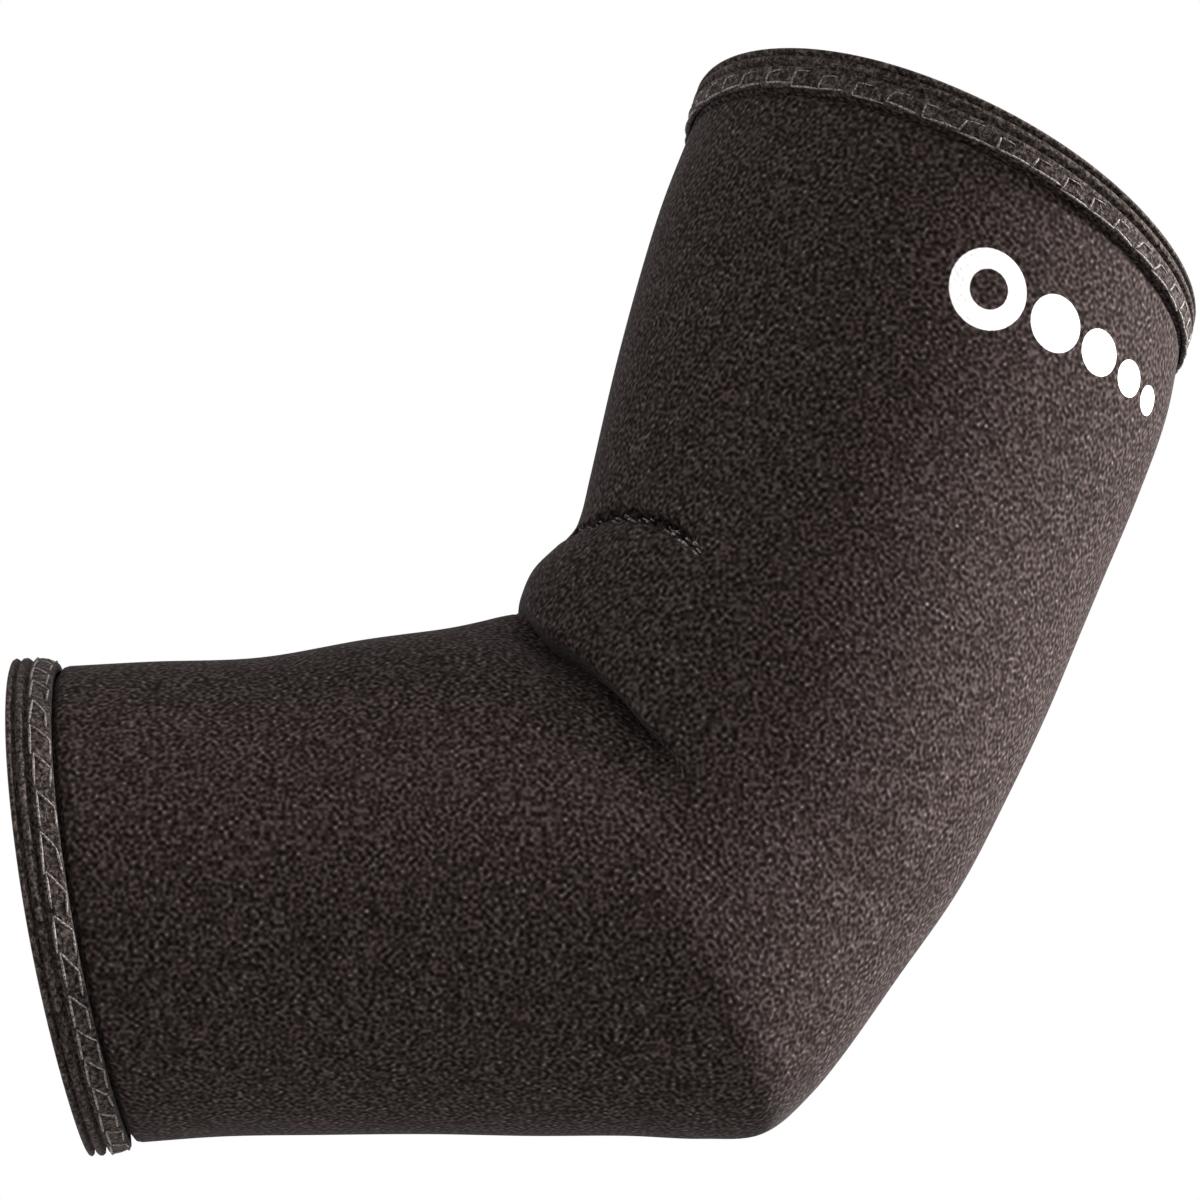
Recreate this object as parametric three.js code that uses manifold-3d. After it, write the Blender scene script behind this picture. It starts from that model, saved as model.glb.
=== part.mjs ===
// Pull-on elbow sleeve of padded stretch sheet, in the bent form it takes when worn.
// Millimetres, +Z up. The bent arm lies in the XZ plane: the forearm end opens towards -X,
// the upper end opens up and towards +X. The origin is the hinge of the elbow, where the
// middle lines of the two ends cross, in the open hollow of the sleeve.
import * as THREE from 'three';
import Module from 'manifold-3d';

// Driving sizes
const FOREARM_REACH = 117; // hinge to the inner edge of the forearm binding
const UPPER_REACH = 129; // hinge to the inner edge of the upper binding
const BEND = 73; // degrees that the upper end is turned out of the forearm's line
const ELBOW_DEPTH = 106; // crook of the elbow to its point
const ELBOW_WIDTH = 75; // across the elbow, from side to side
const SQUARENESS = 2.1; // power of the rounded sections, 2 being an ellipse
const WALL = 3; // thickness of the padded sheet
const BINDING_WIDTH = 8; // edge binding, measured along the sleeve
const BINDING_THICKNESS = 1.2; // folded strip of the binding
const BINDING_RIDGE = 0.4; // how far the turned edge swells over the flat of the binding
const FOREARM_BOW = 2.2; // how far the sides of the forearm edge reach past its middle
const UPPER_BOW = 3.2; // the same at the upper edge
const BOW_SHARE = 0.12; // share of the sleeve's length over which the bow of an edge dies out
const FOLD_DEPTH = 5; // deepest crease in the crook
const FOLD_WIDTH = 9; // gentle side of that crease
const LINING_FOLLOW = 0.75; // share of a fold that the inner face takes
const CLEARANCE = 0.3; // between the sheet and the binding folded over its edge

// Fineness of the facets
const AROUND = 48;

// Sections of the sleeve from the forearm binding to the upper one.
// run: share of the reach along the forearm (negative) or the upper arm (positive).
// lift: middle of the section off that line towards the crook, share of ELBOW_DEPTH.
// turn: share of BEND by which the section leans. depth, width: shares of the elbow's.
// rings: rows of facets up to the next section.
const SECTIONS = [
  { run: -1.0, lift: -0.04, turn: 0.128, depth: 0.82, width: 1.03, rings: 2 },
  { run: -0.86, lift: -0.03, turn: 0.13, depth: 0.818, width: 1.025, rings: 2 },
  { run: -0.7, lift: -0.025, turn: 0.11, depth: 0.82, width: 1.02, rings: 2 },
  { run: -0.54, lift: -0.008, turn: 0.108, depth: 0.852, width: 1.015, rings: 2 },
  { run: -0.4, lift: 0.002, turn: 0.14, depth: 0.885, width: 1.005, rings: 2 },
  { run: -0.3, lift: 0.01, turn: 0.225, depth: 0.925, width: 0.995, rings: 2 },
  { run: -0.225, lift: 0.013, turn: 0.295, depth: 0.972, width: 0.985, rings: 2 },
  { run: -0.17, lift: 0.02, turn: 0.35, depth: 1.0, width: 0.975, rings: 2 },
  { run: 0.01, lift: 0.15, turn: 0.425, depth: 0.975, width: 0.97, rings: 6 },
  { run: 0.12, lift: 0.106, turn: 0.63, depth: 0.915, width: 0.995, rings: 3 },
  { run: 0.208, lift: 0.078, turn: 0.735, depth: 0.915, width: 1.03, rings: 3 },
  { run: 0.302, lift: 0.05, turn: 0.86, depth: 0.893, width: 1.06, rings: 4 },
  { run: 0.386, lift: 0.025, turn: 0.955, depth: 0.878, width: 1.075, rings: 4 },
  { run: 0.463, lift: 0.015, turn: 1.05, depth: 0.89, width: 1.09, rings: 2 },
  { run: 0.54, lift: 0.012, turn: 1.075, depth: 0.91, width: 1.105, rings: 3 },
  { run: 0.712, lift: 0.012, turn: 1.02, depth: 0.945, width: 1.16, rings: 2 },
  { run: 0.88, lift: 0.012, turn: 0.92, depth: 0.967, width: 1.2, rings: 2 },
  { run: 1.0, lift: 0.012, turn: 0.875, depth: 0.956, width: 1.215, rings: 0 },
];

// Folds that the bend gathers in the crook, the same on both sides.
// start, end: place along SECTIONS at the crook line and at the fold's far ends.
// arch: how far it stands off the straight way between them, towards the upper arm.
// reach: how far round each side it runs, share of a half turn.
// depth: into the sleeve, share of FOLD_DEPTH, negative for a roll that stands out.
// crook: share of that depth which is left at the crook line.
// low, high: half-widths on the forearm's and the upper arm's side, shares of FOLD_WIDTH.
const FOLDS = [
  { name: 'crease', start: 7.4, end: 8.1, arch: 0.68, reach: 0.53, depth: 1, crook: 0, low: 0.9, high: 0.3 },
  { name: 'roll', start: 9.3, end: 9.2, arch: 0, reach: 0.5, depth: -0.2, crook: 0, low: 0.5, high: 1 },
  { name: 'tuck', start: 11.1, end: 11.2, arch: 0.85, reach: 0.4, depth: 0.26, crook: 0, low: 0.25, high: 0.25 },
];
const ARCH_SKEW = 1.2; // over 1, the top of an arch lies nearer the far end of its fold
const FOLD_RISE = 0.45; // share of a fold's reach over which it deepens from the crook line
const FOLD_HOLD = 0.75; // share of its reach up to which it keeps that depth
const FOLD_TAPER = 0.5; // share of its width that is left at its far end

// Cross-section of a binding. along: share of BINDING_WIDTH from its sewn edge towards the
// rim. swell: share of BINDING_RIDGE by which its face stands out there.
const BINDING_FACE = [
  { along: 0.0, swell: 0.0 },
  { along: 0.42, swell: 0.0 },
  { along: 0.56, swell: 1.0 },
  { along: 0.88, swell: 1.0 },
];

// Colours of the cloth, sRGB
const SHEET_COLOUR = '#2f2724';
const BINDING_COLOUR = '#3a322f';
const SHEET_ROUGHNESS = 0.92;
const BINDING_ROUGHNESS = 0.85;

// The straight tube that is bent: its length follows the two reaches, its radius only keeps
// the layers of the wall apart.
const BODY_RUN = FOREARM_REACH + UPPER_REACH;
const TUBE_RADIUS = ELBOW_DEPTH / 2;
const BOW_RUN = BOW_SHARE * BODY_RUN;
const TANGENT_STEP = 0.001;

const wasm = await Module();
wasm.setup();

// Crook point and elbow point of one section; the y of the crook point is the half-width.
function sectionEnds(row) {
  const bend = THREE.MathUtils.degToRad(BEND);
  const onForearm = row.run < 0;
  const armAxis = new THREE.Vector3(Math.cos(bend), 0, Math.sin(bend));
  const axis = onForearm ? new THREE.Vector3(1, 0, 0) : armAxis;
  const towardsCrook = new THREE.Vector3(-axis.z, 0, axis.x);
  const middle = axis.multiplyScalar(row.run * (onForearm ? FOREARM_REACH : UPPER_REACH));
  middle.addScaledVector(towardsCrook, row.lift * ELBOW_DEPTH);
  const lean = Math.PI / 2 + row.turn * bend;
  const half = new THREE.Vector3(Math.cos(lean), 0, Math.sin(lean));
  half.multiplyScalar(row.depth * ELBOW_DEPTH / 2);
  const crook = middle.clone().add(half);
  crook.y = row.width * ELBOW_WIDTH / 2;
  return { crook, elbow: middle.clone().sub(half) };
}

const ENDS = SECTIONS.map(sectionEnds);
const CROOK_LINE = new THREE.CatmullRomCurve3(ENDS.map((ends) => ends.crook));
const ELBOW_LINE = new THREE.CatmullRomCurve3(ENDS.map((ends) => ends.elbow));

// Point of a line at a height of the straight tube; past its ends it runs on straight.
function linePoint(line, height) {
  const inside = THREE.MathUtils.clamp(height, 0, BODY_RUN);
  const point = line.getPoint(inside / BODY_RUN);
  if (inside === height) {
    return point;
  }
  const back = line.getPoint(height < 0 ? TANGENT_STEP : 1 - TANGENT_STEP);
  const onward = point.clone().sub(back).setY(0).normalize();
  return point.addScaledVector(onward, Math.abs(height - inside));
}

// How far the sides of an edge reach out at this height: negative at the forearm.
function edgeBow(height) {
  const low = 1 - THREE.MathUtils.smoothstep(height, 0, BOW_RUN);
  const high = THREE.MathUtils.smoothstep(height, BODY_RUN - BOW_RUN, BODY_RUN);
  return high * UPPER_BOW - low * FOREARM_BOW;
}

function rounded(value) {
  return Math.sign(value) * Math.abs(value) ** (2 / SQUARENESS);
}

// Point of the unfolded form, `layer` millimetres under the outer face, with the direction
// out of the sleeve there. `turn` is the angle round the sleeve from the crook line.
function formPoint(height, turn, layer) {
  const crook = linePoint(CROOK_LINE, height);
  const elbow = linePoint(ELBOW_LINE, height);
  const halfWidth = crook.y;
  crook.y = 0;
  const up = crook.clone().sub(elbow);
  const halfDepth = up.length() / 2;
  up.normalize();
  const onward = new THREE.Vector3(up.z, 0, -up.x);
  const across = rounded(Math.sin(turn));
  const facing = rounded(Math.cos(turn));
  const point = crook.add(elbow).multiplyScalar(1 / 2);
  point.addScaledVector(up, facing * (halfDepth - layer));
  point.addScaledVector(onward, edgeBow(height) * Math.sin(turn) ** 2);
  point.y = -across * (halfWidth - layer);
  const outward = up.multiplyScalar(facing / halfDepth);
  outward.y = -across / halfWidth;
  return { point, outward: outward.normalize() };
}

// Depth that the folds press into the form at a place on its outer face.
function foldDepth(height, turn) {
  const place = formPoint(height, turn, 0).point;
  const fromCrook = Math.abs(turn) / Math.PI;
  let depth = 0;
  for (const fold of FOLDS) {
    const run = fromCrook / fold.reach;
    if (run < 1) {
      const arch = fold.arch * Math.sin(Math.PI * run ** ARCH_SKEW);
      const row = THREE.MathUtils.lerp(fold.start, fold.end, run) + arch;
      const centre = row / (SECTIONS.length - 1) * BODY_RUN;
      const away = place.distanceTo(formPoint(centre, turn, 0).point);
      const taper = THREE.MathUtils.lerp(1, FOLD_TAPER, run ** 2);
      const halfWidth = FOLD_WIDTH * taper * (height < centre ? fold.low : fold.high);
      const rise = THREE.MathUtils.lerp(fold.crook, 1, THREE.MathUtils.smoothstep(run, 0, FOLD_RISE));
      const fade = 1 - THREE.MathUtils.smoothstep(run, FOLD_HOLD, 1);
      depth += fold.depth * FOLD_DEPTH * rise * fade * Math.exp(-((away / halfWidth) ** 2));
    }
  }
  return depth;
}

// Bends a straight tube about +Y, made round TUBE_RADIUS, into the worn form.
function bend(geometry) {
  const positions = geometry.getAttribute('position');
  const vertex = new THREE.Vector3();
  for (let i = 0; i < positions.count; i += 1) {
    vertex.fromBufferAttribute(positions, i);
    const turn = Math.atan2(vertex.x, vertex.z);
    const layer = TUBE_RADIUS - Math.hypot(vertex.x, vertex.z);
    const { point, outward } = formPoint(vertex.y, turn, layer);
    const follow = layer > WALL / 2 ? LINING_FOLLOW : 1;
    point.addScaledVector(outward, -follow * foldDepth(vertex.y, turn));
    positions.setXYZ(i, point.x, point.y, point.z);
  }
  return geometry;
}

// Turns a closed outline of [layer, height] pairs into a tube and bends it.
function bentTube(outline) {
  const profile = outline.map(([layer, height]) => new THREE.Vector2(TUBE_RADIUS - layer, height));
  profile.push(profile[0].clone());
  return solid(bend(new THREE.LatheGeometry(profile, AROUND)));
}

// Joins the seam of a turned form and checks that it is one closed body.
function solid(geometry) {
  const positions = geometry.getAttribute('position');
  const index = geometry.getIndex();
  const seen = new Map();
  const vertices = [];
  const triangles = [];
  for (let i = 0; i < index.count; i += 1) {
    const k = index.getX(i);
    const corner = [positions.getX(k), positions.getY(k), positions.getZ(k)];
    const key = corner.map((value) => value.toFixed(4)).join();
    if (!seen.has(key)) {
      seen.set(key, vertices.length / 3);
      vertices.push(...corner);
    }
    triangles.push(seen.get(key));
  }
  const mesh = new wasm.Mesh({
    numProp: 3,
    vertProperties: new Float32Array(vertices),
    triVerts: new Uint32Array(triangles),
  });
  return new wasm.Manifold(mesh);
}

function piece(name, body, colour, roughness) {
  const mesh = body.getMesh();
  const geometry = new THREE.BufferGeometry();
  geometry.setAttribute('position', new THREE.BufferAttribute(mesh.vertProperties, mesh.numProp));
  geometry.setIndex(new THREE.BufferAttribute(mesh.triVerts, 1));
  geometry.computeVertexNormals();
  const material = new THREE.MeshStandardMaterial({ color: colour, roughness, metalness: 0 });
  const result = new THREE.Mesh(geometry, material);
  result.name = name;
  return result;
}

// Heights of the rings of the sheet, from one raw edge to the other.
function sheetHeights() {
  const edge = BINDING_WIDTH - BINDING_THICKNESS - CLEARANCE;
  const step = BODY_RUN / (SECTIONS.length - 1);
  const heights = [-edge];
  SECTIONS.forEach((row, i) => {
    for (let ring = 0; ring < row.rings; ring += 1) {
      heights.push((i + ring / row.rings) * step);
    }
  });
  heights.push(BODY_RUN, BODY_RUN + edge);
  return heights;
}

// The tube of padded sheet, open at both ends.
function makeSleeve() {
  const heights = sheetHeights();
  const outer = heights.map((height) => [0, height]);
  const inner = heights.map((height) => [WALL, height]).reverse();
  return piece('sleeve', bentTube([...outer, ...inner]), SHEET_COLOUR, SHEET_ROUGHNESS);
}

// A strip folded over one raw edge: a face outside, a face inside and the turn between them.
// `sewn` is the height of its sewn edge and `outward` is 1 at the upper end, -1 at the lower.
function makeBinding(name, sewn, outward) {
  const at = (share) => sewn + outward * share * BINDING_WIDTH;
  const rest = CLEARANCE + BINDING_THICKNESS;
  const turnInside = sewn + outward * (BINDING_WIDTH - BINDING_THICKNESS);
  const outline = [
    ...BINDING_FACE.map((row) => [-rest - row.swell * BINDING_RIDGE, at(row.along)]),
    [-CLEARANCE, at(1)],
    [WALL + CLEARANCE, at(1)],
    [WALL + rest, at(BINDING_FACE.at(-1).along)],
    [WALL + rest, at(0)],
    [WALL + CLEARANCE, at(0)],
    [WALL + CLEARANCE, turnInside],
    [-CLEARANCE, turnInside],
    [-CLEARANCE, at(0)],
  ];
  if (outward < 0) {
    outline.reverse();
  }
  return piece(name, bentTube(outline), BINDING_COLOUR, BINDING_ROUGHNESS);
}

const brace = new THREE.Group();
brace.name = 'elbow_brace';
brace.add(
  makeSleeve(),
  makeBinding('forearm_binding', 0, -1),
  makeBinding('upper_binding', BODY_RUN, 1),
);

export default brace;
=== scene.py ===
"""A pull-on elbow sleeve of knit-faced neoprene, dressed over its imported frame.

Lengths are in metres in the frame of the solids: the bent sleeve lies in the XZ plane, its
forearm end opens towards -X and its upper end opens up and towards +X.
"""

import logging
import math
import random
from dataclasses import dataclass, field
from enum import Enum
from typing import Sequence

import bmesh
import bpy
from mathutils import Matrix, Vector


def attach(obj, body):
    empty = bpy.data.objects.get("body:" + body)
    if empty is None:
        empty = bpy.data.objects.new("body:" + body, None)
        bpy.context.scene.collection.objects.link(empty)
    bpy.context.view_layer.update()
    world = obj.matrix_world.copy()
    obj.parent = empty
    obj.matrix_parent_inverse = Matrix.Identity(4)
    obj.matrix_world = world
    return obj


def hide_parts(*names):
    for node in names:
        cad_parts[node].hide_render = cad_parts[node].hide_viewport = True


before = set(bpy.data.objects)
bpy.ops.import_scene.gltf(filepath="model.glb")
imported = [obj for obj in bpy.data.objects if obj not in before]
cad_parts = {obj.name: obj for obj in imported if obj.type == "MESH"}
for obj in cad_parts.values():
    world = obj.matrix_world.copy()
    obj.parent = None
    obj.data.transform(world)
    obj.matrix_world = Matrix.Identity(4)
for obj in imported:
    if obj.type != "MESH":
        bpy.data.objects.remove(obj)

MM = 0.001
LAST = -1
FULL_TURN = 2 * math.pi
# Share of a line over which its direction at an end is measured.
END_STEP = 0.001
# Digits of a height by which its ring is remembered.
RING_DIGITS = 7
# Step along the cloth by which its own direction is measured.
CLOTH_STEP = 1 * MM
# Corners of a mesh that lie closer than this are one.
WELD = 0.001 * MM
# Points of one length of thread, as shares of it.
THREAD_STEPS = (0.0, 0.25, 0.5, 0.75, 1.0)
# UV map in metres on the cloth: round it from the crook line, and along its middle line.
CLOTH_MAP = "cloth"
LOG = logging.getLogger("elbow_brace")


def srgb(colour: str) -> tuple[float, float, float, float]:
    """Linear colour of an sRGB hex colour.

    Args:
        colour: six hex digits after a hash.

    Returns:
        Linear red, green, blue and an alpha of one.
    """
    parts = (int(colour[i : i + 2], 16) / 255 for i in (1, 3, 5))
    linear = [c / 12.92 if c <= 0.04045 else ((c + 0.055) / 1.055) ** 2.4 for c in parts]
    return (*linear, 1.0)


def smoothstep(value: float, low: float, high: float) -> float:
    """Rises smoothly from 0 at low to 1 at high."""
    share = min(max((value - low) / (high - low), 0.0), 1.0)
    return share * share * (3 - 2 * share)


def mix(start: float, end: float, share: float) -> float:
    """Value at a share of the way from start to end."""
    return start + (end - start) * share


# The worn form


@dataclass(frozen=True)
class Section:
    """One section of the sleeve, in shares of its named sizes.

    Attributes:
        run: share of the reach, negative along the forearm, positive up the arm.
        lift: middle of the section off that line towards the crook, share of the depth.
        turn: share of the bend by which the section leans.
        depth: crook to elbow, share of the elbow's depth.
        width: side to side, share of the elbow's width.
    """

    run: float
    lift: float
    turn: float
    depth: float
    width: float


@dataclass(frozen=True)
class Fold:
    """A fold gathered in the crook, alike on both sides.

    Attributes:
        start: place along the sections at the crook line.
        end: place along the sections at the fold's far ends.
        arch: how far it stands off the straight way between them, in sections.
        reach: how far round each side it runs, share of a half turn.
        depth: into the sleeve, share of the fold depth, negative for a roll.
        crook: share of that depth left at the crook line.
        low: half-width on the forearm's side, share of the fold width.
        high: half-width on the upper arm's side, share of the fold width.
        lap: how far the high side hangs over the fold, share of the fold width.
        stitches: stitches that pinch it over its reach on one side, none for a plain fold.
    """

    start: float
    end: float
    arch: float
    reach: float
    depth: float
    crook: float
    low: float
    high: float
    lap: float = 0.0
    stitches: int = 0


SECTIONS = (
    Section(-1.0, -0.04, 0.128, 0.82, 1.03),
    Section(-0.86, -0.03, 0.13, 0.818, 1.025),
    Section(-0.7, -0.025, 0.11, 0.82, 1.02),
    Section(-0.54, -0.008, 0.108, 0.852, 1.015),
    Section(-0.4, 0.002, 0.14, 0.885, 1.005),
    Section(-0.3, 0.01, 0.225, 0.925, 0.995),
    Section(-0.225, 0.013, 0.295, 0.972, 0.985),
    Section(-0.17, 0.02, 0.35, 1.0, 0.975),
    Section(0.01, 0.15, 0.425, 0.975, 0.97),
    Section(0.12, 0.106, 0.63, 0.915, 0.995),
    Section(0.208, 0.078, 0.735, 0.915, 1.03),
    Section(0.302, 0.05, 0.86, 0.893, 1.06),
    Section(0.386, 0.025, 0.955, 0.878, 1.075),
    Section(0.463, 0.015, 1.05, 0.89, 1.09),
    Section(0.54, 0.012, 1.075, 0.91, 1.105),
    Section(0.712, 0.012, 1.02, 0.945, 1.16),
    Section(0.88, 0.012, 0.92, 0.967, 1.2),
    Section(1.0, 0.012, 0.875, 0.956, 1.215),
)

CREASE = Fold(
    start=7.5, end=8.25, arch=0.7, reach=0.53, depth=1.95, crook=0.0, low=0.95, high=0.15, lap=0.55
)
ROLL = Fold(start=9.3, end=9.2, arch=0.0, reach=0.5, depth=-0.2, crook=0.0, low=0.5, high=1.0)
TUCK = Fold(
    start=11.1, end=11.2, arch=0.85, reach=0.4, depth=0.72, crook=0.0, low=0.18, high=0.15, stitches=22
)


class SmoothLine:
    """A centripetal Catmull-Rom line through given points."""

    def __init__(self, points: Sequence[Vector]) -> None:
        """Keeps the points, with one mirrored past each end.

        Args:
            points: the points that it runs through.
        """
        self.points = [2 * points[0] - points[1], *points, 2 * points[-1] - points[-2]]
        self.spans = len(points) - 1

    def point(self, share: float) -> Vector:
        """Point at a share of the line, counted in spans.

        Args:
            share: from 0 at the first point to 1 at the last.

        Returns:
            The point on the line.
        """
        place = share * self.spans
        span = min(int(place), self.spans - 1)
        rest = place - span
        before, start, end, after = self.points[span : span + 4]
        legs = ((before, start), (start, end), (end, after))
        first, middle, last = (math.sqrt((b - a).length) for a, b in legs)
        leave = (start - before) / first - (end - before) / (first + middle) + (end - start) / middle
        arrive = (end - start) / middle - (after - start) / (middle + last) + (after - end) / last
        leave *= middle
        arrive *= middle
        square = 3 * (end - start) - 2 * leave - arrive
        cube = 2 * (start - end) + leave + arrive
        return start + leave * rest + square * rest**2 + cube * rest**3


@dataclass
class WornForm:
    """The bent form of the sleeve, as a straight tube of places mapped into space.

    A place is a height along the straight tube, a turn round it from the crook line and a
    layer under its outer face.

    Attributes:
        forearm_reach: hinge of the elbow to the forearm binding's sewn edge.
        upper_reach: the same up the arm.
        bend: turn of the upper end out of the forearm's line.
        depth: crook of the elbow to its point.
        width: across the elbow, from side to side.
        squareness: power of the sections, 2 being an ellipse.
        wall: thickness of the sheet.
        forearm_bow: reach of the forearm edge's sides past its middle.
        upper_bow: the same at the upper edge.
        bow_share: share of the run over which a bow dies out.
        fold_depth: unit of the folds' depths.
        fold_width: unit of the folds' widths.
        fold_range: reach of a fold, in fold widths.
        arch_skew: over 1, the top of an arch lies nearer the far end of its fold.
        fold_rise: share of a fold's reach over which it deepens from the crook line.
        fold_hold: share of its reach up to which it keeps that depth.
        fold_taper: share of its width that is left at its far end.
        slope: power of a fold's sides, 2 being a bell.
        dive: the same on the forearm's side of a fold that is lapped.
        shoulder: middle of the lapped cloth, in half-widths off the fold's line.
        pinch: share of its depth by which a sewn fold rises and falls at its stitches.
        lining_follow: share of a fold that the inner face takes.
        hem_dip: how far a binding's seam draws the sheet in.
        hem_dip_width: half-width of that dip.
        sections: from the forearm's end to the upper end.
        folds: gathered in the crook.
    """

    forearm_reach: float = 117 * MM
    upper_reach: float = 129 * MM
    bend: float = math.radians(73)
    depth: float = 106 * MM
    width: float = 75 * MM
    squareness: float = 2.1
    wall: float = 3 * MM
    forearm_bow: float = 2.2 * MM
    upper_bow: float = 3.2 * MM
    bow_share: float = 0.12
    fold_depth: float = 5 * MM
    fold_width: float = 9 * MM
    fold_range: float = 4.0
    arch_skew: float = 1.2
    fold_rise: float = 0.45
    fold_hold: float = 0.75
    fold_taper: float = 0.5
    slope: float = 2.0
    dive: float = 1.15
    shoulder: float = 1.6
    pinch: float = 0.8
    lining_follow: float = 0.75
    hem_dip: float = 1.7 * MM
    hem_dip_width: float = 0.7 * MM
    sections: tuple[Section, ...] = SECTIONS
    folds: tuple[Fold, ...] = (CREASE, ROLL, TUCK)

    def __post_init__(self) -> None:
        """Runs smooth lines along the crook and the elbow through the sections."""
        ends = [self._ends(section) for section in self.sections]
        self.run = self.forearm_reach + self.upper_reach
        self.crook_line = SmoothLine([crook for crook, _ in ends])
        self.elbow_line = SmoothLine([elbow for _, elbow in ends])
        middles = [(crook * Vector((1, 0, 1)) + elbow) / 2 for crook, elbow in ends]
        self.lengths = [0.0]
        for low, high in zip(middles, middles[1:]):
            self.lengths.append(self.lengths[LAST] + (high - low).length)
        self._rings: dict[float, tuple[Vector, Vector, Vector, float, float]] = {}

    def _ends(self, section: Section) -> tuple[Vector, Vector]:
        """Ends of a section.

        Args:
            section: the section.

        Returns:
            Its crook point, whose y is the half-width, and its elbow point.
        """
        if section.run < 0:
            axis, reach = Vector((1, 0, 0)), self.forearm_reach
        else:
            axis, reach = Vector((math.cos(self.bend), 0, math.sin(self.bend))), self.upper_reach
        crookwards = Vector((-axis.z, 0, axis.x))
        middle = section.run * reach * axis + section.lift * self.depth * crookwards
        lean = math.pi / 2 + section.turn * self.bend
        half = Vector((math.cos(lean), 0, math.sin(lean))) * section.depth * self.depth / 2
        crook = middle + half
        crook.y = section.width * self.width / 2
        return crook, middle - half

    def height(self, place: float) -> float:
        """Height of a place counted in sections."""
        return place / (len(self.sections) - 1) * self.run

    def along(self, height: float) -> float:
        """Length along the middle line of the sleeve.

        Args:
            height: along the straight tube.

        Returns:
            The length from the forearm's end up to there.
        """
        place = min(max(height / self.run, 0.0), 1.0) * (len(self.sections) - 1)
        row = min(int(place), len(self.sections) - 2)
        return mix(self.lengths[row], self.lengths[row + 1], place - row)

    def fold_height(self, fold: Fold, run: float) -> float:
        """Height of a fold's deepest line at a share of its reach."""
        arch = fold.arch * math.sin(math.pi * run**self.arch_skew)
        return self.height(mix(fold.start, fold.end, run) + arch)

    def _line_point(self, line: SmoothLine, height: float) -> Vector:
        """Point of a line, which runs on straight past its ends.

        Args:
            line: along the crook or the elbow.
            height: along the straight tube.

        Returns:
            The point.
        """
        inside = min(max(height, 0.0), self.run)
        point = line.point(inside / self.run)
        if inside == height:
            return point
        back = line.point(END_STEP if height < 0 else 1 - END_STEP)
        onward = point - back
        onward.y = 0
        return point + onward.normalized() * abs(height - inside)

    def _ring(self, height: float) -> tuple[Vector, Vector, Vector, float, float]:
        """The section at a height, worked out once.

        Args:
            height: along the straight tube.

        Returns:
            Its middle, crookward and onward directions, half-depth and half-width.
        """
        key = round(height, RING_DIGITS)
        if key not in self._rings:
            crook = self._line_point(self.crook_line, height)
            elbow = self._line_point(self.elbow_line, height)
            half_width, crook.y = crook.y, 0
            crookward = crook - elbow
            half_depth = crookward.length / 2
            crookward.normalize()
            onward = Vector((crookward.z, 0, -crookward.x))
            self._rings[key] = ((crook + elbow) / 2, crookward, onward, half_depth, half_width)
        return self._rings[key]

    def _bow(self, height: float) -> float:
        """How far the sides of the sleeve reach past its middle.

        Args:
            height: along the straight tube.

        Returns:
            The length, negative towards the forearm.
        """
        length = self.bow_share * self.run
        low = 1 - smoothstep(height, 0, length)
        high = smoothstep(height, self.run - length, self.run)
        return high * self.upper_bow - low * self.forearm_bow

    def _rounded(self, value: float) -> float:
        """Squares a sine or cosine off a little."""
        return math.copysign(abs(value) ** (2 / self.squareness), value)

    def smooth_point(self, height: float, turn: float, layer: float = 0.0) -> tuple[Vector, Vector]:
        """A place on the form before it is folded.

        Args:
            height: along the straight tube.
            turn: angle round the sleeve from the crook line.
            layer: depth under the outer face.

        Returns:
            The point and the direction out of the sleeve there.
        """
        middle, crookward, onward, half_depth, half_width = self._ring(height)
        across, facing = self._rounded(math.sin(turn)), self._rounded(math.cos(turn))
        point = middle + crookward * facing * (half_depth - layer)
        point += onward * self._bow(height) * math.sin(turn) ** 2
        point.y = -across * (half_width - layer)
        outward = crookward * (facing / half_depth)
        outward.y = -across / half_width
        return point, outward.normalized()

    def folded_shift(self, height: float, turn: float) -> tuple[float, float]:
        """What the folds do at a place.

        Args:
            height: along the straight tube.
            turn: angle round the sleeve from the crook line.

        Returns:
            The depth pressed into the sleeve and the slide towards the forearm.
        """
        place, _ = self.smooth_point(height, turn)
        from_crook = abs(turn) / math.pi
        from_hem = min(height, self.run - height)
        depth = slide = 0.0
        if from_hem >= 0:
            depth = self.hem_dip * math.exp(-((from_hem / self.hem_dip_width) ** 2))
        for fold in self.folds:
            run = from_crook / fold.reach
            if run >= 1:
                continue
            centre = self.fold_height(fold, run)
            away = (place - self.smooth_point(centre, turn)[0]).length
            if away > self.fold_range * self.fold_width:
                continue
            taper = mix(1, self.fold_taper, run**2)
            half_width = self.fold_width * taper * (fold.low if height < centre else fold.high)
            rise = mix(fold.crook, 1, smoothstep(run, 0, self.fold_rise))
            strength = rise * (1 - smoothstep(run, self.fold_hold, 1))
            if fold.stitches:
                strength *= 1 - self.pinch * math.cos(FULL_TURN * run * fold.stitches)
            slope = self.dive if height < centre and fold.lap else self.slope
            depth += fold.depth * self.fold_depth * strength * math.exp(-((away / half_width) ** slope))
            if fold.lap and height > centre:
                shoulder = fold.high * self.fold_width * self.shoulder
                lap = math.exp(-(((away - shoulder) / shoulder) ** 2))
                slide += fold.lap * self.fold_width * strength * lap
        return depth, slide

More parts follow.
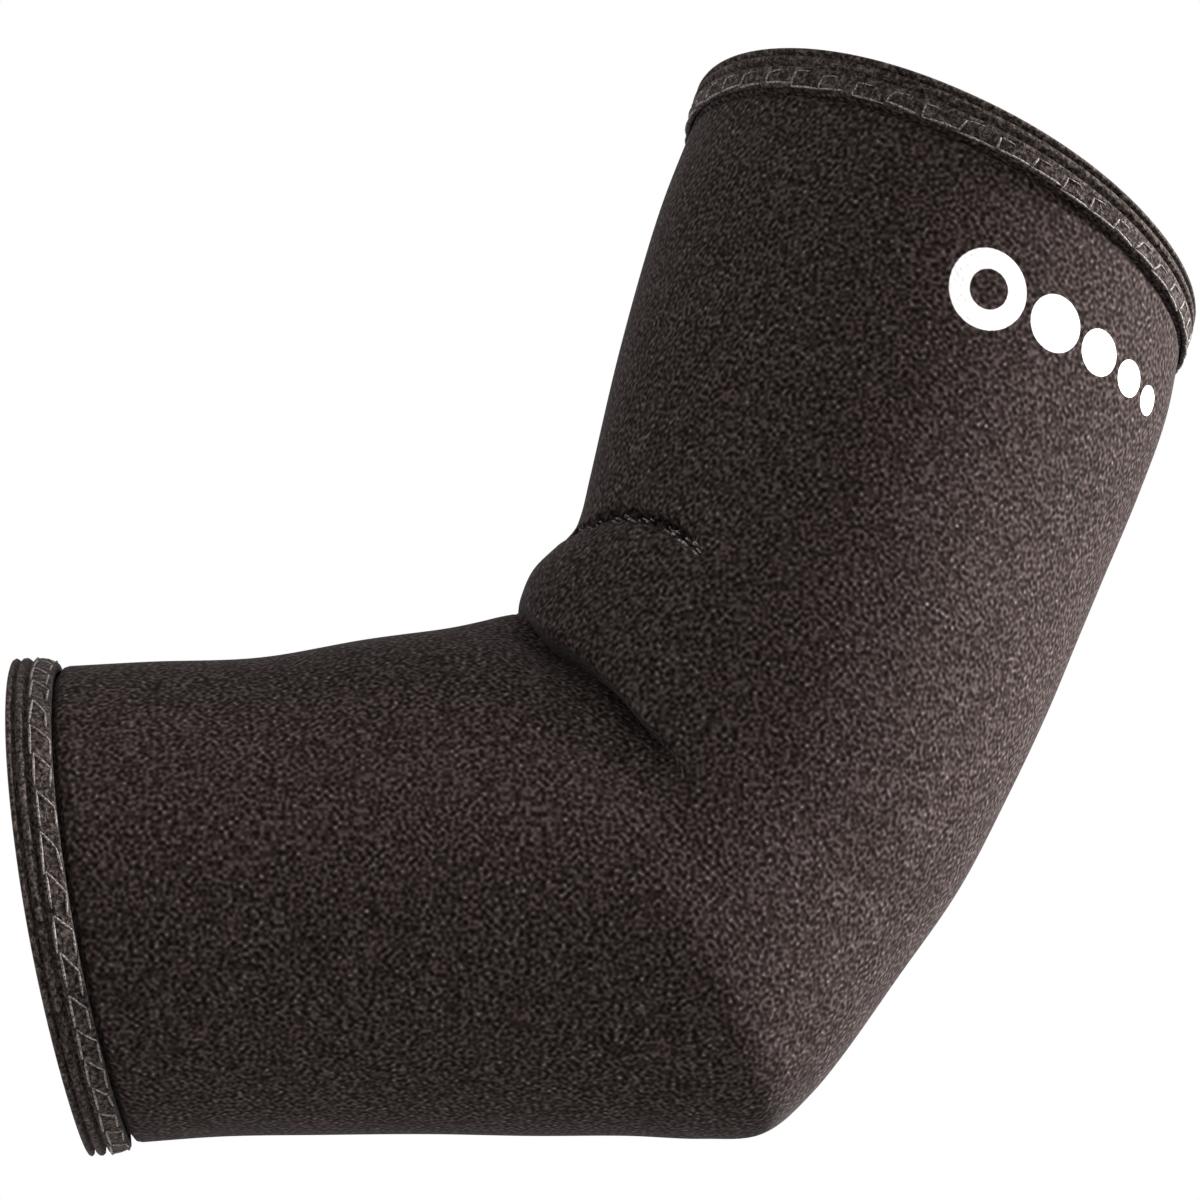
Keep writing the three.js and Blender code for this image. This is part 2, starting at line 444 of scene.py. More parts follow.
    def point(self, height: float, turn: float, layer: float = 0.0) -> Vector:
        """A place on the finished, folded form.

        Args:
            height: along the straight tube.
            turn: angle round the sleeve from the crook line.
            layer: depth under the outer face.

        Returns:
            The point in the frame.
        """
        point, outward = self.smooth_point(height, turn, layer)
        turn = math.remainder(turn, FULL_TURN)
        depth, slide = self.folded_shift(height, turn)
        if not depth and not slide:
            return point
        follow = self.lining_follow if layer > self.wall / 2 else 1.0
        point -= outward * depth * follow
        if slide and follow == 1.0:
            ahead, _ = self.smooth_point(height - CLOTH_STEP, turn)
            here, _ = self.smooth_point(height, turn)
            point += (ahead - here).normalized() * slide
        return point


# The finishes


@dataclass(frozen=True)
class Shade:
    """One stop of a cloth's mottling.

    Attributes:
        at: value of the pattern.
        colour: sRGB colour there.
    """

    at: float
    colour: str


class Nodes:
    """A small writer of one material's nodes."""

    def __init__(self, name: str) -> None:
        """Starts an empty material.

        Args:
            name: name of the real finish.
        """
        self.material = bpy.data.materials.new(name)
        self.material.use_nodes = True
        self.tree = self.material.node_tree
        self.tree.nodes.clear()

    def add(
        self,
        kind: str,
        settings: dict[str, object] | None = None,
        shades: Sequence[Shade] = (),
        **inputs: object,
    ) -> bpy.types.Node:
        """Adds a node with its settings and links.

        Args:
            kind: the node's type without its ShaderNode prefix.
            settings: attributes of the node.
            shades: stops of its colours, if it has any.
            **inputs: values or sockets to link, by name with _ for a space, or by i and a number.

        Returns:
            The new node.
        """
        node = self.tree.nodes.new("ShaderNode" + kind)
        for key, value in (settings or {}).items():
            setattr(node, key, value)
        for i, shade in enumerate(shades):
            stops = node.color_ramp.elements
            stop = stops[i] if i < len(stops) else stops.new(1.0)
            stop.position = shade.at
            stop.color = srgb(shade.colour)
        for key, value in inputs.items():
            numbered = key[0] == "i" and key[1:].isdigit()
            socket = node.inputs[int(key[1:]) if numbered else key.replace("_", " ")]
            if isinstance(value, bpy.types.NodeSocket):
                self.tree.links.new(value, socket)
            else:
                socket.default_value = value
        return node


@dataclass(frozen=True)
class Dot:
    """A printed dot or ring.

    Attributes:
        across: round the sleeve from the start of the print, share of its length.
        radius: outer radius, share of the print's height.
        hole: radius of the hole, share of the outer radius.
    """

    across: float
    radius: float
    hole: float = 0.0


@dataclass(frozen=True)
class DottedPrint:
    """A plain print in matte white screen ink: a ring and a row of dots that grow smaller.

    Attributes:
        start: round the cloth from the crook line to the print.
        level: along the middle line to the print.
        length: of the print.
        height: of its ring.
        bleed: width over which the ink ends.
    """

    start: float = 90 * MM
    level: float = 210 * MM
    length: float = 60 * MM
    height: float = 15 * MM
    ink: str = "#f4f1f0"
    bleed: float = 0.25 * MM
    dots: tuple[Dot, ...] = (
        Dot(0.12, 0.5, 0.5),
        Dot(0.37, 0.38),
        Dot(0.57, 0.33),
        Dot(0.75, 0.28),
        Dot(0.91, 0.24),
    )

    def mask(self, nodes: Nodes) -> bpy.types.NodeSocket:
        """One where the cloth is printed, else zero.

        Args:
            nodes: writer of the cloth's material.

        Returns:
            The socket of that value.
        """
        place = nodes.add("UVMap", {"uv_map": CLOTH_MAP}).outputs["UV"]
        soft = self.bleed / 2
        found = None
        for dot in self.dots:
            centre = (self.start + dot.across * self.length, self.level, 0)
            away = nodes.add("VectorMath", {"operation": "DISTANCE"}, i0=place, i1=centre).outputs["Value"]
            rim = dot.radius * self.height
            inked = nodes.add("MapRange", Value=away, From_Min=rim + soft, From_Max=rim - soft).outputs[0]
            if dot.hole:
                rim *= dot.hole
                kept = nodes.add("MapRange", Value=away, From_Min=rim - soft, From_Max=rim + soft).outputs[0]
                inked = nodes.add("Math", {"operation": "MULTIPLY"}, i0=inked, i1=kept).outputs[0]
            if found:
                inked = nodes.add("Math", {"operation": "ADD"}, i0=found, i1=inked).outputs[0]
            found = inked
        return found


@dataclass(frozen=True)
class KnitFace:
    """A matte black knit: brown-black in the light and mottled by its loops.

    Attributes:
        shades: its mottling, from the pits between the loops to the specks on them.
        grain: size of the mottling.
        relief: bump height of the pattern's whole range, of which it keeps to the middle.
        roughness: of the yarn.
        specular: its faint gloss.
        sheen: the fuzz that lights up along the rims.
        sheen_tint: colour of the fuzz.
        sheen_roughness: how wide the fuzz shows.
    """

    name: str
    shades: tuple[Shade, ...]
    grain: float
    relief: float
    roughness: float
    specular: float
    sheen: float
    sheen_tint: str
    sheen_roughness: float = 0.4

    def dress(
        self, nodes: Nodes, colour: bpy.types.NodeSocket, height: bpy.types.NodeSocket
    ) -> bpy.types.Material:
        """Finishes the material.

        Args:
            nodes: writer of the material.
            colour: its colour.
            height: its pattern, from zero to one.

        Returns:
            The material.
        """
        bump = nodes.add("Bump", Height=height, Strength=1.0, Distance=self.relief)
        shader = nodes.add(
            "BsdfPrincipled",
            Base_Color=colour,
            Roughness=self.roughness,
            Normal=bump.outputs["Normal"],
            Specular_IOR_Level=self.specular,
            Sheen_Weight=self.sheen,
            Sheen_Roughness=self.sheen_roughness,
            Sheen_Tint=srgb(self.sheen_tint),
        )
        nodes.add("OutputMaterial", Surface=shader.outputs["BSDF"])
        return nodes.material


@dataclass(frozen=True)
class KnitFacedNeoprene(KnitFace):
    """Black polyester jersey glued to neoprene foam, which holds it smooth and taut.

    Its loops give the eye fine pits and soft specks of one size. They are about 0.5 mm wide, too
    fine to show, and are drawn about twice as coarse.

    Attributes:
        spread: distance of a place's neighbours, in grains.
        mark: the print on the upper arm.
    """

    name: str = "knit_faced_neoprene"
    shades: tuple[Shade, ...] = (
        Shade(0.27, "#0d0705"),
        Shade(0.5, "#28201d"),
        Shade(0.73, "#453b3b"),
        Shade(0.9, "#746a6b"),
    )
    grain: float = 0.9 * MM
    relief: float = 0.15 * MM
    roughness: float = 0.9
    specular: float = 0.06
    sheen: float = 0.04
    sheen_tint: str = "#c8bfc2"
    spread: float = 0.65
    mark: DottedPrint = DottedPrint()

    def _loops(self, nodes: Nodes) -> bpy.types.NodeSocket:
        """Noise of one grain size: each place against the mean of its neighbours.

        Args:
            nodes: writer of the material.

        Returns:
            A value about one half.
        """
        place = nodes.add("TexCoord").outputs["Object"]
        here = nodes.add("TexNoise", Vector=place, Scale=1 / self.grain, Detail=0.0).outputs[0]
        away = self.spread * self.grain
        axes = (Vector((1, 0, 0)), Vector((0, 1, 0)), Vector((0, 0, 1)))
        steps = [axis * way for axis in axes for way in (-away, away)]
        around = None
        for step in steps:
            beside = nodes.add("VectorMath", {"operation": "ADD"}, i0=place, i1=step).outputs[0]
            value = nodes.add("TexNoise", Vector=beside, Scale=1 / self.grain, Detail=0.0).outputs[0]
            if around:
                value = nodes.add("Math", {"operation": "ADD"}, i0=around, i1=value).outputs[0]
            around = value
        mean = nodes.add("Math", {"operation": "DIVIDE"}, i0=around, i1=float(len(steps))).outputs[0]
        contrast = nodes.add("Math", {"operation": "SUBTRACT"}, i0=here, i1=mean).outputs[0]
        return nodes.add("Math", {"operation": "ADD"}, i0=contrast, i1=0.5).outputs[0]

    def build(self) -> bpy.types.Material:
        """Makes the material.

        Returns:
            The material.
        """
        nodes = Nodes(self.name)
        loops = self._loops(nodes)
        cloth = nodes.add("ValToRGB", shades=self.shades, Fac=loops).outputs["Color"]
        printed = self.mark.mask(nodes)
        ink = srgb(self.mark.ink)
        colour = nodes.add("Mix", {"data_type": "RGBA"}, i0=printed, i6=cloth, i7=ink).outputs[2]
        return self.dress(nodes, colour, loops)


@dataclass(frozen=True)
class FoldedTape(KnitFace):
    """Black knit tape, folded over the raw edge and sewn through.

    The fold stretches its loops, so it looks lighter, more coarsely mottled and a little smoother
    than the sheet. Its mottling is drawn as coarse as the sheet's.

    Attributes:
        detail: finer layers of the mottling.
        fineness: strength of those layers.
        waver: how far the mottling is bent.
    """

    name: str = "folded_knit_tape"
    shades: tuple[Shade, ...] = (
        Shade(0.33, "#060302"),
        Shade(0.5, "#2f2724"),
        Shade(0.7, "#5b524e"),
    )
    grain: float = 0.8 * MM
    relief: float = 0.48 * MM
    roughness: float = 0.85
    specular: float = 0.1
    sheen: float = 0.08
    sheen_tint: str = "#c9bab6"
    detail: float = 2.0
    fineness: float = 0.6
    waver: float = 0.4

    def build(self) -> bpy.types.Material:
        """Makes the material.

        Returns:
            The material.
        """
        nodes = Nodes(self.name)
        place = nodes.add("TexCoord").outputs["Object"]
        cells = nodes.add(
            "TexNoise",
            Vector=place,
            Scale=1 / self.grain,
            Detail=self.detail,
            Roughness=self.fineness,
            Distortion=self.waver,
        ).outputs[0]
        colour = nodes.add("ValToRGB", shades=self.shades, Fac=cells).outputs["Color"]
        return self.dress(nodes, colour, cells)


@dataclass(frozen=True)
class SewingThread:
    """Dark grey textured polyester thread, made of crimped filaments.

    They give the eye light and dark flecks, drawn coarser than the real crimp of about 0.2 mm.
    """

    name: str = "grey_thread"
    shades: tuple[Shade, ...] = (
        Shade(0.35, "#2a2220"),
        Shade(0.5, "#5d534f"),
        Shade(0.65, "#8b817d"),
    )
    fleck: float = 0.4 * MM
    roughness: float = 0.7
    sheen: float = 0.2

    def build(self) -> bpy.types.Material:
        """Makes the material.

        Returns:
            The material.
        """
        nodes = Nodes(self.name)
        place = nodes.add("TexCoord").outputs["Object"]
        flecks = nodes.add("TexNoise", Vector=place, Scale=1 / self.fleck, Detail=1.0).outputs[0]
        colour = nodes.add("ValToRGB", shades=self.shades, Fac=flecks).outputs["Color"]
        shader = nodes.add(
            "BsdfPrincipled", Base_Color=colour, Roughness=self.roughness, Sheen_Weight=self.sheen
        )
        nodes.add("OutputMaterial", Surface=shader.outputs["BSDF"])
        return nodes.material


class Finish(Enum):
    """The finishes of the sleeve."""

    SHEET = KnitFacedNeoprene()
    TAPE = FoldedTape()
    THREAD = SewingThread()

    def material(self) -> bpy.types.Material:
        """The finish's material, made once."""
        return bpy.data.materials.get(self.value.name) or self.value.build()


# The pieces


class Slot(Enum):
    """Material slots of the record."""

    SHEET = "neoprene_cloth"
    TAPE = "binding_tape"


def make_piece(name: str, mesh: bmesh.types.BMesh, finish: Finish) -> bpy.types.Object:
    """Turns a mesh under construction into a piece of the sleeve.

    Args:
        name: name of the piece.
        mesh: its finished mesh, which is freed.
        finish: its finish.

    Returns:
        The piece, smooth shaded and riding on the root body.
    """
    data = bpy.data.meshes.new(name)
    bmesh.ops.recalc_face_normals(mesh, faces=mesh.faces)
    mesh.to_mesh(data)
    mesh.free()
    data.shade_smooth()
    data.materials.append(finish.material())
    piece = bpy.data.objects.new(name, data)
    bpy.context.scene.collection.objects.link(piece)
    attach(piece, "root")
    return piece


def bent_tube(form: WornForm, outline: Sequence[tuple[float, float]], around: int) -> bmesh.types.BMesh:
    """Spins a closed outline into a straight tube and bends it into the worn form.

    Args:
        form: the worn form.
        outline: layer and height of each corner, in order round the outline.
        around: facets round the sleeve.

    Returns:
        The bent, closed tube.
    """
    radius = form.depth / 2
    mesh = bmesh.new()
    corners = [mesh.verts.new((0, radius - layer, height)) for layer, height in outline]
    edges = [mesh.edges.new((a, b)) for a, b in zip(corners, corners[1:] + corners[:1])]
    bmesh.ops.spin(
        mesh,
        geom=corners + edges,
        cent=(0, 0, 0),
        axis=(0, 0, 1),
        angle=FULL_TURN,
        steps=around,
        use_merge=True,
    )
    bmesh.ops.remove_doubles(mesh, verts=mesh.verts, dist=WELD)
    cloth = mesh.loops.layers.uv.new(CLOTH_MAP)
    for face in mesh.faces:
        turns = [math.atan2(loop.vert.co.x, loop.vert.co.y) for loop in face.loops]
        for loop, turn in zip(face.loops, turns):
            wrapped = turn + FULL_TURN if max(turns) - turn > math.pi else turn
            outside = math.hypot(loop.vert.co.x, loop.vert.co.y) > radius - form.wall / 2
            loop[cloth].uv = (wrapped * radius if outside else 0.0, form.along(loop.vert.co.z))
    for vert in mesh.verts:
        turn = math.atan2(vert.co.x, vert.co.y)
        layer = radius - math.hypot(vert.co.x, vert.co.y)
        vert.co = form.point(vert.co.z, turn, layer)
    return mesh


@dataclass
class SheetTube:
    """The tube of padded sheet.

    Attributes:
        around: facets round the sleeve.
        edge: how far the raw edges reach under the bindings.
        fine_step: mean distance of the rings about the folds.
        plain_step: largest distance of the other rings.
        lining_step: the same on the inner face.
        dip_shares: rings by a binding, in half-widths of the dip.
    """

    form: WornForm
    name: str = "sleeve_cloth"
    around: int = 288
    edge: float = 6.5 * MM
    fine_step: float = 0.8 * MM
    plain_step: float = 2.2 * MM
    lining_step: float = 4 * MM
    dip_shares: tuple[float, ...] = (0.35, 0.7, 1.05, 1.4)

    def heights(self, step: float, fine_step: float) -> list[float]:
        """Heights of the rings from edge to edge.

        Args:
            step: distance between rings where they lie furthest apart.
            fine_step: mean distance between the rings about the folds.

        Returns:
            The heights, rising.
        """
        form = self.form
        rows = [row for fold in form.folds for row in (fold.start, fold.end)]
        found = [-self.edge, -self.edge / 2]
        for i in range(len(form.sections) - 1):
            low, high = form.height(i), form.height(i + 1)
            lengths = [
                (line.point(high / form.run) - line.point(low / form.run)).length
                for line in (form.crook_line, form.elbow_line)
            ]
            folded = math.floor(min(rows)) - 1 <= i <= max(rows) + 1
            span = sum(lengths) / 2 / fine_step if folded else max(lengths) / step
            count = max(2, round(span))
            found += [mix(low, high, k / count) for k in range(count)]
        dipped = [form.hem_dip_width * share for share in self.dip_shares]
        found += dipped + [form.run - height for height in dipped]
        return sorted(found) + [form.run, form.run + self.edge / 2, form.run + self.edge]

    def build(self) -> bpy.types.Object:
        """Makes the sheet, which stands for the sleeve's solid.

        Returns:
            The piece.
        """
        outline = [(0.0, height) for height in self.heights(self.plain_step, self.fine_step)]
        lining = self.heights(self.lining_step, self.lining_step)
        outline += [(self.form.wall, height) for height in reversed(lining)]
        mesh = bent_tube(self.form, outline, self.around)
        sheet = make_piece(self.name, mesh, Finish.SHEET)
        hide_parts("sleeve")
        return sheet


@dataclass(frozen=True)
class FaceRow:
    """One line along a binding.

    Attributes:
        along: share of the width from the sewn edge towards the rim.
        swell: share of the ridge by which the face stands out there.
    """

    along: float
    swell: float


BINDING_FACE = (
    FaceRow(0.0, -3.2),
    FaceRow(0.02, -2.0),
    FaceRow(0.06, -1.3),
    FaceRow(0.14, -0.9),
    FaceRow(0.26, -0.4),
    FaceRow(0.38, 0.0),
    FaceRow(0.46, 0.4),
    FaceRow(0.5, -0.4),
    FaceRow(0.525, -2.6),
    FaceRow(0.58, -2.6),
    FaceRow(0.61, 0.1),
    FaceRow(0.66, 0.9),
    FaceRow(0.73, 0.8),
    FaceRow(0.77, 0.0),
    FaceRow(0.8, -2.2),
    FaceRow(0.84, -2.2),
    FaceRow(0.865, 0.2),
    FaceRow(0.91, 0.9),
    FaceRow(0.96, 0.4),
    FaceRow(0.99, -0.9),
)


@dataclass
class EdgeBinding:
    """A strip folded over one raw edge of the sheet.

    Attributes:
        node: the solid that it stands for.
        sewn: height of its sewn edge.
        outward: 1 at the upper end, -1 at the forearm's.
        width: along the sleeve.
        thickness: of the strip.
        ridge: unit of the swells of its face.
        clearance: between the strip and the sheet.
        around: facets round the sleeve.
        face: rows of its outer face.
        rim: where its rounded rim ends inside, share of the width.
        inner_face: rows of its inner face, shares of the width.
        lip: width of its inner edges, share of the width.
    """

    form: WornForm
    node: str
    sewn: float
    outward: int
    width: float = 8 * MM
    thickness: float = 1.2 * MM
    ridge: float = 0.4 * MM
    clearance: float = 0.3 * MM
    around: int = 224
    face: tuple[FaceRow, ...] = BINDING_FACE
    rim: float = 0.93
    inner_face: tuple[float, ...] = (0.7, 0.4, 0.05)
    lip: float = 0.02

    def at(self, share: float) -> float:
        """Height of a share of the binding's width."""
        return self.sewn + self.outward * share * self.width

    def face_layer(self, share: float) -> float:
        """Layer of the outer face.

        Args:
            share: of the width, from the sewn edge.

        Returns:
            The depth under the sleeve's outer face, which is negative.
        """
        swell = self.face[LAST].swell
        for low, high in zip(self.face, self.face[1:]):
            if share <= high.along:
                passed = max(0.0, (share - low.along) / (high.along - low.along))
                swell = mix(low.swell, high.swell, passed)
                break
        return -(self.clearance + self.thickness + swell * self.ridge)

    def outline(self) -> list[tuple[float, float]]:
        """The folded section: outer face, rim, inner face and the groove between.

        Returns:
            Layer and height of each corner, in order.
        """
        rest = self.clearance + self.thickness
        inside = self.form.wall + self.clearance
        turn = 1 - self.thickness / self.width
        corners = [(self.face_layer(row.along), self.at(row.along)) for row in self.face]
        corners += [(-self.clearance, self.at(1.0)), (inside, self.at(1.0))]
        corners += [(inside + self.thickness, self.at(self.rim))]
        corners += [(self.form.wall + rest, self.at(share)) for share in self.inner_face]
        corners += [(inside + self.thickness / 2, self.at(0.0)), (inside, self.at(self.lip))]
        corners += [(inside, self.at(turn)), (-self.clearance, self.at(turn))]
        corners += [(-self.clearance, self.at(self.lip))]
        return corners

    def build(self) -> bpy.types.Object:
        """Makes the strip, which stands for the binding's solid.

        Returns:
            The piece.
        """
        mesh = bent_tube(self.form, self.outline(), self.around)
        piece = make_piece(self.node + "_cloth", mesh, Finish.TAPE)
        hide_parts(self.node)
        return piece


@dataclass
class ThreadTube:
    """Thread laid along short paths.

    Attributes:
        radius: of the thread.
        sides: of its section.
        tip: share of its radius where it dives into a needle hole.
    """

    radius: float
    sides: int = 6
    tip: float = 0.55

    def lay(self, mesh: bmesh.types.BMesh, path: Sequence[Vector], up: Vector) -> None:
        """Adds one length of thread.

        Args:
            mesh: the mesh that takes it.
            path: its middle line.
            up: a direction well off the path.
        """
        rings = []
        for i, here in enumerate(path):
            tangent = (path[min(i + 1, len(path) - 1)] - path[max(i - 1, 0)]).normalized()
            side = tangent.cross(up).normalized()
            rise = side.cross(tangent)
            radius = self.radius * (self.tip if i in (0, len(path) - 1) else 1.0)
            turns = (FULL_TURN * k / self.sides for k in range(self.sides))
            spokes = (side * math.cos(turn) + rise * math.sin(turn) for turn in turns)
            ring = [mesh.verts.new(here + spoke * radius) for spoke in spokes]
            rings.append([mesh.edges.new((a, b)) for a, b in zip(ring, ring[1:] + ring[:1])])
        for low, high in zip(rings, rings[1:]):
            bmesh.ops.bridge_loops(mesh, edges=low + high)
        bmesh.ops.contextual_create(mesh, geom=rings[0])
        bmesh.ops.contextual_create(mesh, geom=rings[LAST])


@dataclass
class HemStitching:
    """The two-row stitch that holds a binding: a row at its sewn edge, a far row and rungs.

    Attributes:
        binding: the binding that it holds.
        row: thread of the row at the sewn edge and of the rungs.
        row_share: share of the pitch that this row shows.
        far: thread of the far row.
        far_share: share of the pitch that the far row shows.
        pitch: length of a stitch.
        row_at: place of the first row, share of the binding's width.
        far_at: place of the far row.
        slant: lean of a rung, share of the pitch.
        loft: how far the thread stands up.
        stray: how far a hole lies off its place, share of pitch and width.
        girth_steps: steps in which the sewn edge is measured.
    """

    binding: EdgeBinding
    row: ThreadTube
    row_share: float
    far: ThreadTube
    far_share: float
    pitch: float = 6.2 * MM
    row_at: float = 0.1
    far_at: float = 0.42
    slant: float = 0.14
    loft: float = 0.1 * MM
    stray: float = 0.08
    girth_steps: int = 90
    seed: int = 11

    def _girth(self) -> float:
        """Measures the way round the sewn edge.

        Returns:
            Its length.
        """
        binding = self.binding
        steps = self.girth_steps
        points = [binding.form.point(binding.sewn, FULL_TURN * k / steps) for k in range(steps + 1)]
        return sum((b - a).length for a, b in zip(points, points[1:]))

    def _on_face(self, share: float, turn: float, lift: float) -> Vector:
        """A point over the binding's outer face."""
        layer = self.binding.face_layer(share) - lift
        return self.binding.form.point(self.binding.at(share), turn, layer)

    def _path(self, start: tuple[float, float], end: tuple[float, float]) -> list[Vector]:
        """A low arc of thread between two needle holes.

        Args:
            start: first hole, as a share of the width and a turn.
            end: second hole.

        Returns:
            Points along the arc.
        """
        path = []
        for part in THREAD_STEPS:
            share, turn = mix(start[0], end[0], part), mix(start[1], end[1], part)
            path.append(self._on_face(share, turn, self.loft * math.sin(math.pi * part)))
        return path

    def build(self) -> bpy.types.Object:
        """Makes the thread of one hem.

        Returns:
            The piece.
        """
        count = round(self._girth() / self.pitch)
        step = FULL_TURN / count
        chance = random.Random(self.seed)
        mesh = bmesh.new()

        def hole(share: float, turn: float) -> tuple[float, float]:
            """A needle hole, a little off its place."""
            off = chance.uniform(-1, 1) * self.stray / 2
            return share + off, turn + chance.uniform(-1, 1) * self.stray * step

        for k in range(count):
            _, up = self.binding.form.smooth_point(self.binding.sewn, k * step)
            near = hole(self.row_at, k * step)
            far = hole(self.far_at, k * step + self.slant * self.binding.outward * step)
            self.row.lay(mesh, self._path(near, hole(self.row_at, near[1] + step * self.row_share)), up)
            self.row.lay(mesh, self._path(near, far), up)
            self.far.lay(mesh, self._path(far, hole(self.far_at, far[1] + step * self.far_share)), up)
        return make_piece(self.binding.node + "_thread", mesh, Finish.THREAD)


@dataclass
class TuckStitching:
    """Short, uneven stitches that gather the tuck on both sides of the crook.

    Attributes:
        fold: the tuck.
        knots: places for stitches over the tuck's reach.
        first: share of the reach where they start.
        last: share where they end.
        rows: distances of the rows below the tuck's line.
        shown: share of the places that show a stitch.
        slant: largest rise of a stitch.
        fall: its largest fall, share of that.
        shortest: length of the shortest stitch, in places.
        longest: length of the longest.
        stray: how far a stitch lies off its row.
        loft: how far it stands up.
        thin: radius of the thread by the crook line.
        thick: radius at the tuck's far end, where it is heaped up.
        uneven: smallest and largest share of that radius.
    """

    form: WornForm
    fold: Fold = TUCK
    knots: int = 36
    first: float = 0.3
    last: float = 0.97
    rows: tuple[float, ...] = (2.0 * MM, 0.4 * MM)
    shown: float = 0.75
    slant: float = 0.8 * MM
    fall: float = 0.4
    shortest: float = 0.5
    longest: float = 0.95
    stray: float = 0.5 * MM
    loft: float = 0.35 * MM
    thin: float = 0.14 * MM
    thick: float = 0.34 * MM
    uneven: tuple[float, float] = (0.7, 1.2)
    seed: int = 5

    def _place(self, run: float, side: int, drop: float, lift: float) -> Vector:
        """A point over the cloth by the tuck's line."""
        height = self.form.fold_height(self.fold, run) - drop
        return self.form.point(height, side * run * self.fold.reach * math.pi, -lift)

    def _bump(
        self, mesh: bmesh.types.BMesh, start: float, side: int, row: float, chance: random.Random
    ) -> None:
        """Lays one short, uneven stitch.

        Args:
            mesh: the mesh that takes it.
            start: share of the fold's reach where it starts.
            side: side of the sleeve, 1 or -1.
            row: its row's distance below the tuck's line.
            chance: source of its unevenness.
        """
        _, up = self.form.smooth_point(self.form.fold_height(self.fold, start), side * start * math.pi)
        drop = row + chance.uniform(-1, 1) * self.stray
        slant = chance.uniform(-self.fall, 1) * self.slant
        length = chance.uniform(self.shortest, self.longest) / self.knots
        thread = ThreadTube(mix(self.thin, self.thick, start**2) * chance.uniform(*self.uneven))
        path = []
        for part in THREAD_STEPS:
            lift = self.loft * math.sin(math.pi * part)
            path.append(self._place(start + part * length, side, drop - part * slant, lift))
        thread.lay(mesh, path, up)

    def build(self) -> bpy.types.Object:
        """Makes the thread of the tuck.

        Returns:
            The piece.
        """
        mesh = bmesh.new()
        chance = random.Random(self.seed)
        for k in range(math.ceil(self.first * self.knots), math.floor(self.last * self.knots)):
            for side in (1, -1):
                for row in self.rows:
                    if chance.random() < self.shown:
                        self._bump(mesh, k / self.knots, side, row, chance)
        return make_piece("tuck_thread", mesh, Finish.THREAD)


# The studio


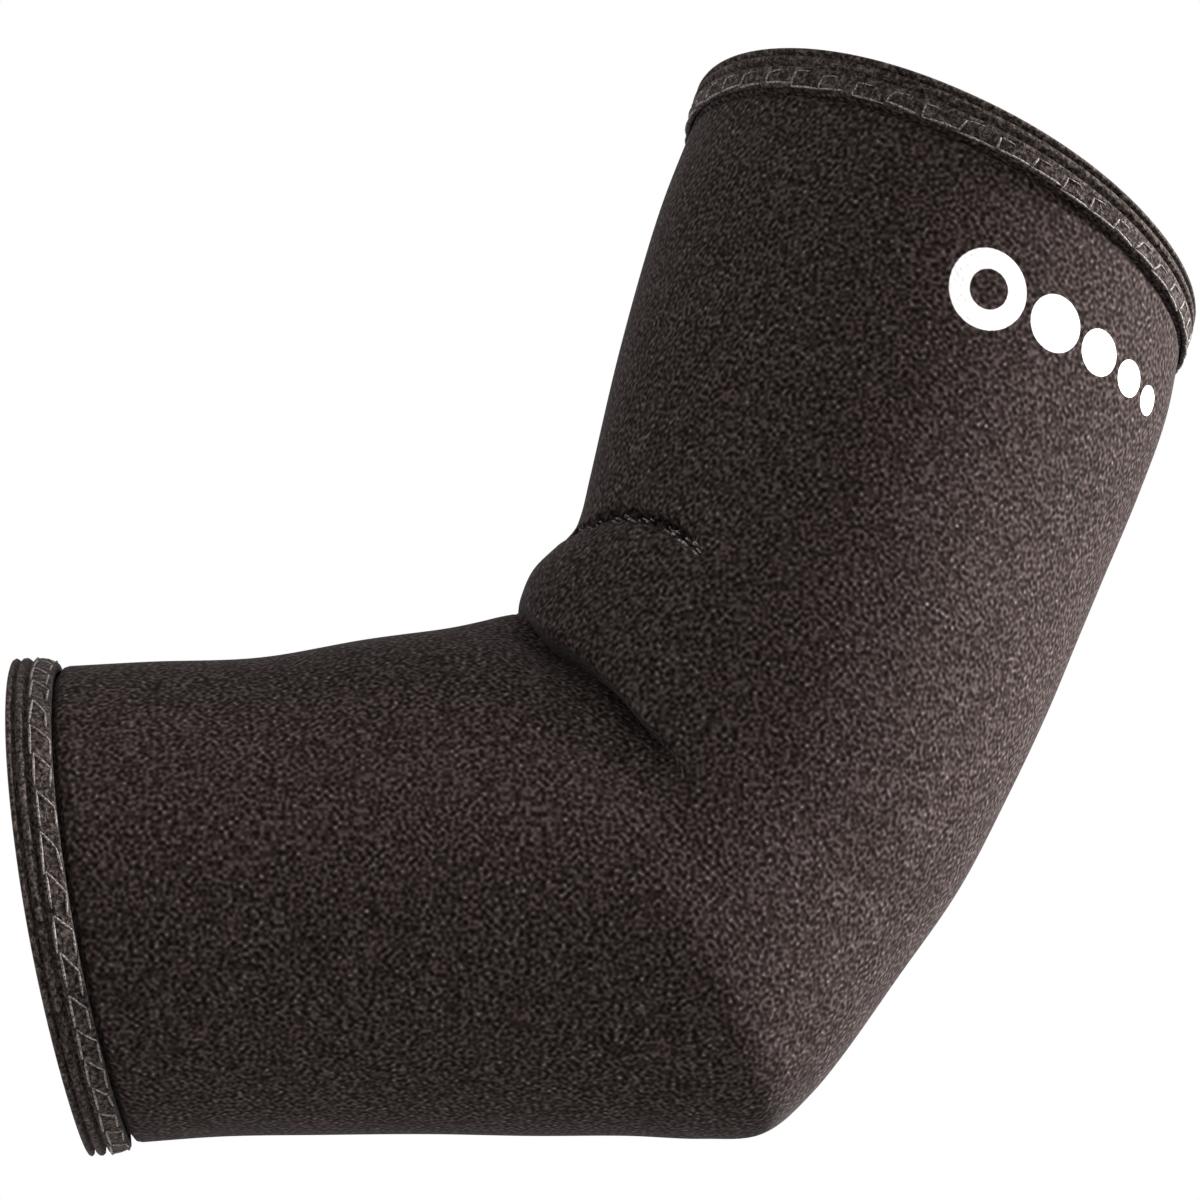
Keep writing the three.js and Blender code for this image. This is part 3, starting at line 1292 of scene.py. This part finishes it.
@dataclass
class Studio:
    """Floor, light and camera round the sleeve.

    Attributes:
        floor_height: well under the sleeve, which floats.
        floor_size: side of the floor.
        floor_colour: matte white paint, which lights the sleeve from below.
        floor_roughness: of the paint.
        room_colour: colour of the light from all round.
        room_strength: its strength.
        camera_distance: camera to the point that it looks at.
        camera_elevation: below the level, so that it looks up.
        frame_width: width of the picture at that point.
        aim: the point that it looks at.
        sensor: width of its sensor in millimetres.
        near: nearest distance that it shows.
        key_place: where the narrow light hangs.
        key_aim: where it points, the outer side of the elbow.
        key_size: side of the light.
        key_spread: angle of its beam.
        key_power: in watts.
    """

    floor_height: float = -0.45
    floor_size: float = 12.0
    floor_colour: str = "#f0f0f0"
    floor_roughness: float = 0.9
    room_colour: str = "#ffffff"
    room_strength: float = 1.0
    camera_distance: float = 0.9
    camera_elevation: float = math.radians(-18.5)
    frame_width: float = 0.2208
    aim: Vector = field(default_factory=lambda: Vector((-0.0262, 0.0, 0.0535)))
    sensor: float = 36.0
    near: float = 0.01
    key_place: Vector = field(default_factory=lambda: Vector((0.95, -0.04, 0.4)))
    key_aim: Vector = field(default_factory=lambda: Vector((0.045, 0.0, -0.005)))
    key_size: float = 0.3
    key_spread: float = math.radians(24)
    key_power: float = 1.85

    def _floor(self) -> None:
        """Lays a wide pale floor."""
        mesh = bmesh.new()
        bmesh.ops.create_grid(mesh, x_segments=1, y_segments=1, size=self.floor_size / 2)
        bmesh.ops.translate(mesh, verts=mesh.verts, vec=(0, 0, self.floor_height))
        data = bpy.data.meshes.new("floor")
        mesh.to_mesh(data)
        mesh.free()
        floor = bpy.data.objects.new("floor", data)
        nodes = Nodes("pale_floor")
        shader = nodes.add(
            "BsdfPrincipled", Base_Color=srgb(self.floor_colour), Roughness=self.floor_roughness
        )
        nodes.add("OutputMaterial", Surface=shader.outputs["BSDF"])
        data.materials.append(nodes.material)
        bpy.context.scene.collection.objects.link(floor)

    def _key(self) -> None:
        """Hangs a soft, narrow light that faces the outer side of the elbow."""
        data = bpy.data.lights.new("key", "AREA")
        data.shape = "SQUARE"
        data.size = self.key_size
        data.spread = self.key_spread
        data.energy = self.key_power
        light = bpy.data.objects.new("key", data)
        light.location = self.key_place
        light.rotation_euler = (self.key_aim - self.key_place).to_track_quat("-Z", "Y").to_euler()
        bpy.context.scene.collection.objects.link(light)

    def _camera(self) -> None:
        """Sets the camera at the photo's angle."""
        data = bpy.data.cameras.new("camera")
        data.sensor_width = self.sensor
        data.lens = self.sensor * self.camera_distance / self.frame_width
        data.clip_start = self.near
        camera = bpy.data.objects.new("camera", data)
        back = Vector((0, -math.cos(self.camera_elevation), math.sin(self.camera_elevation)))
        camera.location = self.aim + back * self.camera_distance
        camera.rotation_euler = (-back).to_track_quat("-Z", "Y").to_euler()
        bpy.context.scene.collection.objects.link(camera)
        bpy.context.scene.camera = camera

    def build(self) -> None:
        """Sets up the whole studio."""
        scene = bpy.context.scene
        scene.view_settings.view_transform = "Standard"
        world = bpy.data.worlds.new("white_room")
        world.use_nodes = True
        background = world.node_tree.nodes["Background"]
        background.inputs["Color"].default_value = srgb(self.room_colour)
        background.inputs["Strength"].default_value = self.room_strength
        scene.world = world
        self._floor()
        self._key()
        self._camera()


def main() -> None:
    """Builds the sleeve in order and logs each piece."""
    LOG.setLevel(logging.INFO)
    LOG.addHandler(logging.StreamHandler())
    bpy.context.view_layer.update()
    form = WornForm()
    forearm_binding = EdgeBinding(form, node="forearm_binding", sewn=0.0, outward=-1)
    upper_binding = EdgeBinding(form, node="upper_binding", sewn=form.run, outward=1, ridge=0.25 * MM)
    parts = (
        SheetTube(form),
        forearm_binding,
        HemStitching(
            forearm_binding,
            row=ThreadTube(0.2 * MM),
            row_share=0.6,
            far=ThreadTube(0.22 * MM),
            far_share=0.95,
            row_at=0.07,
            slant=0.4,
        ),
        upper_binding,
        HemStitching(
            upper_binding,
            row=ThreadTube(0.22 * MM),
            row_share=0.95,
            far=ThreadTube(0.12 * MM),
            far_share=0.45,
            row_at=0.05,
            far_at=0.36,
        ),
        TuckStitching(form),
    )
    for part in parts:
        piece = part.build()
        LOG.info("built %s: %d faces", piece.name, len(piece.data.polygons))
    Studio().build()


if __name__ == "__main__":
    main()
